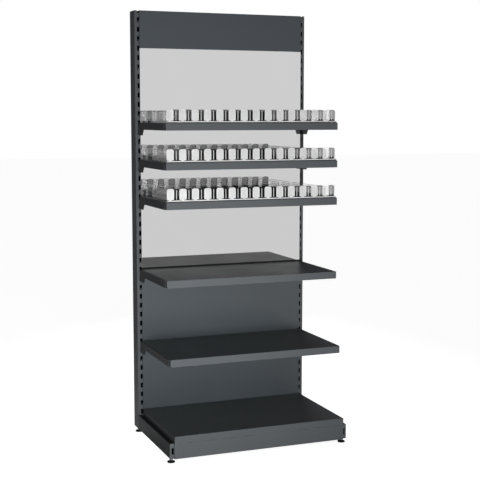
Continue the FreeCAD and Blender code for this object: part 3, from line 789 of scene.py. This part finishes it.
@dataclass
class PusherLanes:
    """The repeated plastic and spring pieces on one pusher shelf."""

    shelf: int
    effects: Effects
    row: RowRule
    sizes: LaneSizes = LaneSizes()

    def build(self) -> None:
        """Make the stops, paddle ribs, divider beads, tracks and springs of the shelf."""
        self._stops()
        self._ribs()
        self._beads()
        self._tracks()
        self._springs()

    def _row(self, name: str, shape: Shape, node: str, width: float, finish: Finish) -> Piece:
        """Repeat a piece over the lanes.

        Args:
            name: the row's name.
            shape: the first lane's piece, in place.
            node: the node whose box gives the row's length.
            width: the width of one piece of that node.
            finish: what it is made of.

        Returns:
            The row.
        """
        low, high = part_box(node)
        pitch = (high.x - low.x - width) / (self.sizes.count - 1)
        values = {"Count": self.sizes.count, "Pitch": pitch, "Finish": finish.material(self.effects, name)}
        return ruled_piece(name, shape, self.row, values)

    def _stop_outline(self, height: float) -> list[Point]:
        """A stop seen from the front: a tab on a narrow neck.

        Args:
            height: the stop's height over the tray.

        Returns:
            The points, anticlockwise from the neck's foot.
        """
        sizes = self.sizes
        width, corner, toe, lift = sizes.stop_width, sizes.stop_corner, sizes.stop_toe, sizes.stop_lift
        near, far = (width - sizes.stop_neck) / 2, (width + sizes.stop_neck) / 2
        points = [(near, 0.0), (far, 0.0), (far, lift)]
        points += quarter((width - toe, lift + toe), toe, -math.pi / 2, sizes.stop_steps // 2)
        points += quarter((width - corner, height - corner), corner, 0.0, sizes.stop_steps)
        points += quarter((corner, height - corner), corner, math.pi / 2, sizes.stop_steps)
        points += quarter((toe, lift + toe), toe, math.pi, sizes.stop_steps // 2)
        return points + [(near, lift)]

    def _stops(self) -> None:
        """Milky front stops: a dished tab inside a rounded rim."""
        node = f"front_stops_{self.shelf}"
        low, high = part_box(node)
        sizes = self.sizes
        shape = extruded(self._stop_outline(high.z - low.z), high.y - low.y, from_corner(low))
        rounded(shape, shape.faces[:2], sizes.stop_round)
        dish = sizes.stop_dish
        bmesh.ops.inset_individual(shape, faces=broadest(shape), thickness=sizes.stop_rim)
        bmesh.ops.inset_individual(shape, faces=broadest(shape), thickness=dish, depth=-dish)
        stops = self._row(f"milky_stops_{self.shelf}", shape, node, sizes.stop_width, MILKY)
        seat(stops, f"shelf_{self.shelf}", Slot.CLEAR, node)

    def _ribs(self) -> None:
        """The upright rib moulded on the front of each paddle, which the goods lean on."""
        pushers = f"pushers_{self.shelf}"
        low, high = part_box(pushers)
        sizes = self.sizes
        width = sizes.rib_width
        foot = low + Vector(((sizes.paddle_width - width) / 2, -sizes.rib_depth, sizes.rib_foot))
        height = high.z - sizes.rib_top - foot.z
        outline = [(0.0, 0.0), (width, 0.0), (width, height), (0.0, height)]
        shape = extruded(outline, sizes.rib_depth, from_corner(foot))
        rounded(shape, shape.faces[:1], sizes.rib_round)
        ribs = self._row(f"paddle_ribs_{self.shelf}", shape, pushers, sizes.paddle_width, MILKY)
        seat(ribs, pushers, Slot.CLEAR)

    def _beads(self) -> None:
        """The grey bead along the upper edge of each divider, its grey a painted highlight on the clear
        edge.
        """
        dividers = f"dividers_{self.shelf}"
        low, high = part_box(dividers)
        sizes = self.sizes
        width, height, soft = sizes.bead_width, sizes.bead_height, sizes.bead_round
        start = Vector((low.x + (sizes.divider_width - width) / 2, low.y, high.z - height))
        outline = [(0.0, 0.0), (width, 0.0), (width, height - soft), (width - soft, height), (soft, height),
                   (0.0, height - soft)]
        shape = extruded(outline, high.y - low.y, from_corner(start))
        beads = self._row(f"divider_beads_{self.shelf}", shape, dividers, sizes.divider_width, EDGE)
        seat(beads, f"shelf_{self.shelf}", Slot.CLEAR)

    def _tracks(self) -> None:
        """Pusher tracks: two runners, a groove beside each and a lower middle for the spring strip."""
        node = f"pusher_tracks_{self.shelf}"
        low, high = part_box(node)
        sizes = self.sizes
        width, runner, floor = sizes.track_width, sizes.track_runner, sizes.track_floor
        top = high.z - low.z
        inner = runner + sizes.track_groove
        outline = [(0.0, 0.0), (width, 0.0), (width, top), (width - runner, top),
                   (width - runner, floor), (width - inner, floor), (width - inner, top - floor),
                   (inner, top - floor), (inner, floor), (runner, floor), (runner, top), (0.0, top)]
        shape = extruded(outline, high.y - low.y, from_corner(low))
        tracks = self._row(f"grooved_tracks_{self.shelf}", shape, node, width, BLACK)
        seat(tracks, f"shelf_{self.shelf}", Slot.BLACK, node)

    def _springs(self) -> None:
        """Flat strip springs, wound into rolls."""
        node = f"pusher_springs_{self.shelf}"
        low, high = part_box(node)
        sizes = self.sizes
        width, strip = sizes.spring_width, sizes.spring_strip
        centre = Vector((low.x, (low.y + high.y) / 2, (low.z + high.z) / 2))
        growth = (high.z - low.z) / 2 - sizes.spring_core - strip
        count = sizes.spring_turns * sizes.spring_facets
        shape = bmesh.new()
        sections = []
        for step in range(count + 1):
            inside = sizes.spring_core + growth * step / count
            outside = inside + strip
            angle = 2 * math.pi * step / sizes.spring_facets
            ray = Vector((0.0, math.cos(angle), math.sin(angle)))
            corners = ((0.0, inside), (width, inside), (width, outside), (0.0, outside))
            sections.append([shape.verts.new(centre + ray * away + Vector((across, 0.0, 0.0)))
                             for across, away in corners])
        for first, second in zip(sections, sections[1:]):
            for side in range(len(first)):
                following = (side + 1) % len(first)
                shape.faces.new((first[side], first[following], second[following], second[side]))
        shape.faces.new(sections[0])
        shape.faces.new(list(reversed(sections[-1])))
        springs = self._row(f"wound_springs_{self.shelf}", shape, node, width, SPRING)
        seat(springs, f"pushers_{self.shelf}", Slot.SPRING, node)


@dataclass(frozen=True)
class FootSizes:
    """Sizes of a levelling foot, with the pad's heights counted from the floor.

    The round shares are the parts of pad_round that the points of a rounded corner stand off by.
    """

    pad_round: float = 0.8 * MM
    pad_rim: float = 6 * MM
    pad_dome: float = 9 * MM
    round_shares: tuple[float, float, float, float] = (0.3, 0.4, 0.2, 0.8)
    boss_radius: float = 9 * MM
    socket_floor: float = 5 * MM
    collar_radius: float = 9 * MM
    collar_height: float = 6 * MM
    collar_sides: int = 6
    core_radius: float = 4.35 * MM
    ridge: float = 0.62 * MM
    thread_pitch: float = 1.5 * MM
    tip: float = 1.5 * MM
    fit: float = 0.05 * MM
    steps: int = 48


@dataclass
class LevellingFoot:
    """A levelling foot: a moulded pad and a screw with a hexagon collar."""

    corner: str
    effects: Effects
    thread: ThreadRule
    sizes: FootSizes = FootSizes()

    def build(self) -> None:
        """Make the pad and the screw."""
        self._pad()
        self._screw()

    @staticmethod
    def _foot_of(low: Vector, high: Vector) -> Vector:
        """The middle of a box's lower face."""
        return Vector(((low.x + high.x) / 2, (low.y + high.y) / 2, low.z))

    def _pad(self) -> None:
        """The turned pad, with a rounded rim and a socket for the screw."""
        node = f"{self.corner}_foot_pad"
        low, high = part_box(node)
        sizes = self.sizes
        radius = (high.x - low.x) / 2
        top = high.z - low.z
        rim, dome, boss, soft = sizes.pad_rim, sizes.pad_dome, sizes.boss_radius, sizes.pad_round
        nick, ease, slope, fillet = (soft * share for share in sizes.round_shares)
        bore = sizes.core_radius + sizes.ridge + sizes.fit
        profile = [(0.0, 0.0), (radius - soft, 0.0), (radius - nick, nick), (radius, soft),
                   (radius, rim - soft), (radius - ease, rim - slope), (radius - 2 * soft, rim + nick),
                   (boss + soft, dome - slope), (boss, dome + fillet), (boss, top - soft),
                   (boss - nick, top - nick), (boss - soft, top), (bore, top),
                   (bore, sizes.socket_floor), (0.0, sizes.socket_floor)]
        name = f"{self.corner}_moulded_pad"
        pad = piece_of(name, lathed(profile, self._foot_of(low, high), sizes.steps))
        pad.data.materials.append(BLACK.material(self.effects, name))
        soften(pad.data)
        seat(pad, f"{self.corner}_foot", Slot.BLACK, node)

    def _collar(self, foot: Vector) -> bpy.types.Mesh:
        """The screw's hexagon collar, for a spanner.

        Args:
            foot: the middle of its lower face.

        Returns:
            The collar's mesh.
        """
        sizes = self.sizes
        radius = sizes.collar_radius
        angles = [2 * math.pi / sizes.collar_sides * side for side in range(sizes.collar_sides)]
        outline = [(radius * math.cos(angle), radius * math.sin(angle)) for angle in angles]
        hexagon = extruded(outline, sizes.collar_height, lambda *offset: foot + Vector(offset))
        rounded(hexagon, hexagon.faces[:2], sizes.ridge)
        return mesh_of("collar", hexagon)

    def _screw(self) -> None:
        """The screw: a core with a tip, a hexagon collar and a rolled thread above it."""
        node = f"{self.corner}_foot_stem"
        low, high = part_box(node)
        sizes = self.sizes
        centre = self._foot_of(low, high)
        length = high.z - low.z
        pad_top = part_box(f"{self.corner}_foot_pad")[1].z - low.z
        core = sizes.core_radius
        full = core + sizes.ridge
        profile = [(0.0, 0.0), (full, 0.0), (full, pad_top), (core, pad_top), (core, length - sizes.tip),
                   (full - sizes.tip, length), (0.0, length)]
        shape = lathed(profile, centre, sizes.steps // 2)
        collar = self._collar(centre + Vector((0.0, 0.0, pad_top)))
        shape.from_mesh(collar)
        bpy.data.meshes.remove(collar)
        start = pad_top + sizes.collar_height
        run = length - sizes.tip - start
        name = f"{self.corner}_threaded_screw"
        screw = ruled_piece(name, shape, self.thread, {
            "Start": centre + Vector((0.0, 0.0, start)), "Radius": core, "Length": run,
            "Turns": run / sizes.thread_pitch, "Ridge": sizes.ridge,
            "Finish": ZINC.material(self.effects, name)})
        seat(screw, f"{self.corner}_foot", Slot.ZINC, node)


@dataclass
class ShadowStrip:
    """A thin black strip of painted shadow along the lower edge of an upright face, the mirror's or a front
    rail's, where the gap below lies in shade.
    """

    effects: Effects
    name: str
    node: str
    body: str
    height: float
    thickness: float = 0.5 * MM
    lip: float = 0.15 * MM

    def build(self) -> None:
        """Make the strip: a flat band with an eased upper edge."""
        low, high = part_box(self.node)
        back, front = low.y, low.y - self.thickness
        foot, top = low.z, low.z + self.height
        band = [(back, foot), (back, top), (back - self.lip, top), (front, top - self.lip), (front, foot)]
        shape = extruded(band, high.x - low.x, lambda deep, up, across: Vector((low.x + across, deep, up)))
        strip = piece_of(self.name, shape)
        strip.data.materials.append(BLACK.material(self.effects, self.name))
        seat(strip, self.body, Slot.BLACK)


@dataclass
class SteelAndGlass:
    """The finishes of the frame's own nodes."""

    effects: Effects
    nodes: dict[str, Piece]
    slots: dict[str, Slot]

    def finish_of(self, node: str) -> Finish:
        """Choose a node's finish by its slot and its place in the unit.

        Args:
            node: the node's name.

        Returns:
            The finish.
        """
        slot = self.slots[node]
        if node.startswith("front_rail"):
            return FROSTED
        if node.startswith("pushers"):
            return SMOKY
        if slot is not Slot.STEEL:
            return SLOT_FINISHES[slot]
        for ending, coat in STEEL_COATS.items():
            if node.endswith(ending):
                return coat
        return TRAY_COAT

    def dress(self) -> None:
        """Give every node its material, also those that finer pieces stand for later."""
        for name, node in self.nodes.items():
            material = self.finish_of(name).material(self.effects, name)
            node.data.materials.clear()
            node.data.materials.append(material)
            log.info("%s wears %s", name, material.name)


@dataclass(frozen=True)
class Softbox:
    """A soft lamp with a grid that narrows its fan of light to a spread in degrees."""

    name: str
    place: Triple
    aim: Triple
    size: Point
    power: float
    spread: float

    def build(self) -> None:
        """Make the lamp, which lights the unit and isn't seen itself."""
        lamp = bpy.data.lights.new(self.name, "AREA")
        lamp.shape = "RECTANGLE"
        lamp.size, lamp.size_y = self.size
        lamp.energy = self.power
        lamp.spread = math.radians(self.spread)
        box = in_scene(self.name, lamp)
        box.location = self.place
        box.rotation_euler = (Vector(self.aim) - box.location).to_track_quat("-Z", "Y").to_euler()
        box.visible_camera = False
        box.visible_glossy = False
        box.visible_transmission = False


@dataclass(frozen=True)
class Studio:
    """A white studio: floor, soft light mostly from the front, and the camera with angles in degrees."""

    camera_place: Triple = (-2.108, -5.427, 1.758)
    camera_turn: float = 21.324
    camera_pitch: float = 6.507
    lens: float = 80.95
    sensor: float = 36.0
    floor_half: float = 40.0
    floor_colour: Colour = (0.86, 0.86, 0.86)
    floor_glow: float = 0.88
    floor_lit_from: float = 0.3
    floor_lit_to: float = 2.5
    light_from: Triple = (-0.25, -1.0, -0.32)
    fade_from: float = -0.15
    fade_to: float = 0.75
    dark: float = 0.04
    room_level: float = 0.46
    horizon: float = 0.13
    horizon_fall: float = 2.0
    lamps: tuple[Softbox, ...] = (
        Softbox("front_softbox", place=(-1.25, -4.6, 0.55), aim=(-0.49, 0.0, 0.87), size=(1.0, 0.9),
                power=20.5, spread=50.0),
        Softbox("back_softbox", place=(1.5, 4.4, 1.5), aim=(0.0, 0.3, 1.15), size=(1.4, 1.6),
                power=34.0, spread=70.0))

    def build(self) -> None:
        """Make the stage, the lights and the camera."""
        self._world()
        self._floor()
        for lamp in self.lamps:
            lamp.build()
        self._camera()

    @staticmethod
    def _seen(tree: Tree, *kinds: str) -> Socket:
        """Where a ray is of one of these kinds.

        Args:
            tree: the node tree.
            kinds: the names of Light Path outputs.

        Returns:
            A socket that is one for those rays.
        """
        path = tree.nodes.new("ShaderNodeLightPath").outputs
        seen = path[kinds[0]]
        for kind in kinds[1:]:
            seen = calc(tree, "MAXIMUM", seen, path[kind])
        return seen

    def _world(self) -> None:
        """White to the eye; as light it comes from the front and fades towards the back."""
        world = bpy.data.worlds.new("studio")
        bpy.context.scene.world = world
        tree = emptied(world)
        output = tree.nodes.new("ShaderNodeOutputWorld")
        ray = tree.nodes.new("ShaderNodeTexCoord").outputs["Generated"]
        turned = vector_calc(tree, "DOT_PRODUCT", ray, Vector(self.light_from).normalized())
        tone = add(tree, "ShaderNodeMapRange",
                   {"Value": turned["Value"], "From Min": self.fade_from, "From Max": self.fade_to,
                    "To Min": self.dark, "To Max": 1.0}, interpolation_type="SMOOTHSTEP")
        rise = calc(tree, "ABSOLUTE", axes_of(tree, ray)["Z"])
        band = calc(tree, "POWER", calc(tree, "SUBTRACT", 1.0, rise), self.horizon_fall)
        around = calc(tree, "MAXIMUM", tone.outputs[0], calc(tree, "MULTIPLY", band, self.horizon))
        glossy = self._seen(tree, "Is Glossy Ray")
        level = calc(tree, "ADD", self.room_level, calc(tree, "MULTIPLY", glossy, 1.0 - self.room_level))
        light = add(tree, "ShaderNodeBackground",
                    {"Color": opaque(WHITE), "Strength": calc(tree, "MULTIPLY", around, level)})
        white = add(tree, "ShaderNodeBackground", {"Color": opaque(WHITE), "Strength": 1.0})
        seen = self._seen(tree, "Is Camera Ray", "Is Transmission Ray")
        mixed = add(tree, "ShaderNodeMixShader", {0: seen, 1: light.outputs[0], 2: white.outputs[0]})
        tree.links.new(mixed.outputs[0], output.inputs["Surface"])

    def _floor(self) -> None:
        """A pale floor that stays white to the eye and still takes the unit's shadow."""
        half = self.floor_half
        corners = [(-half, -half, 0.0), (half, -half, 0.0), (half, half, 0.0), (-half, half, 0.0)]
        mesh = bpy.data.meshes.new("studio_floor")
        mesh.from_pydata(corners, [], [(0, 1, 2, 3)])
        floor = in_scene("studio_floor", mesh)
        material = bpy.data.materials.new("floor_paint")
        tree = emptied(material)
        output = tree.nodes.new("ShaderNodeOutputMaterial")
        place = tree.nodes.new("ShaderNodeTexCoord").outputs["Object"]
        front = Vector((self.light_from[0], self.light_from[1], 0.0)).normalized()
        ahead = vector_calc(tree, "DOT_PRODUCT", place, front)
        lit_part = add(tree, "ShaderNodeMapRange",
                       {"Value": ahead["Value"], "From Min": self.floor_lit_from,
                        "From Max": self.floor_lit_to}, interpolation_type="SMOOTHSTEP")
        mirrored = calc(tree, "MULTIPLY", self._seen(tree, "Is Glossy Ray"), lit_part.outputs[0])
        seen = calc(tree, "MAXIMUM", self._seen(tree, "Is Camera Ray", "Is Transmission Ray"), mirrored)
        paint = add(tree, "ShaderNodeBsdfDiffuse", {"Color": opaque(self.floor_colour)})
        glow = add(tree, "ShaderNodeEmission",
                   {"Color": opaque(WHITE), "Strength": calc(tree, "MULTIPLY", seen, self.floor_glow)})
        lit = add(tree, "ShaderNodeAddShader", {0: paint.outputs[0], 1: glow.outputs[0]})
        tree.links.new(lit.outputs[0], output.inputs["Surface"])
        mesh.materials.append(material)

    def _camera(self) -> None:
        """The camera at the photograph's viewing angle."""
        data = bpy.data.cameras.new("photo_camera")
        data.sensor_width = self.sensor
        data.lens = self.lens
        camera = in_scene("photo_camera", data)
        camera.location = self.camera_place
        # A camera that isn't turned looks straight down
        tilt = math.radians(90.0 - self.camera_pitch)
        camera.rotation_euler = (tilt, 0.0, math.radians(-self.camera_turn))
        bpy.context.scene.camera = camera


def main() -> None:
    """Build and dress every sub-assembly, then set the studio."""
    logging.basicConfig(level=logging.INFO, format="%(message)s")
    bpy.context.scene.view_settings.view_transform = "Standard"
    effects = Effects()
    row = RowRule()
    thread = ThreadRule()
    slots = {part["node"]: Slot(part["material_slot"]) for part in frame["record"]["subparts"]}
    SteelAndGlass(effects, frame["nodes"], slots).dress()
    for shelf in PUSHER_SHELVES:
        PusherLanes(shelf, effects, row).build()
        # Painted shadow under each front rail
        ShadowStrip(effects, f"rail_foot_strip_{shelf}", f"front_rail_{shelf}", f"shelf_{shelf}",
                  RAIL_STRIP_HEIGHT).build()
    # Painted shadow under the mirror
    ShadowStrip(effects, "mirror_shadow_strip", "mirror_pane", "frame", MIRROR_STRIP_HEIGHT).build()
    for corner in FOOT_CORNERS:
        LevellingFoot(corner, effects, thread).build()
    Studio().build()


if __name__ == "__main__":
    main()
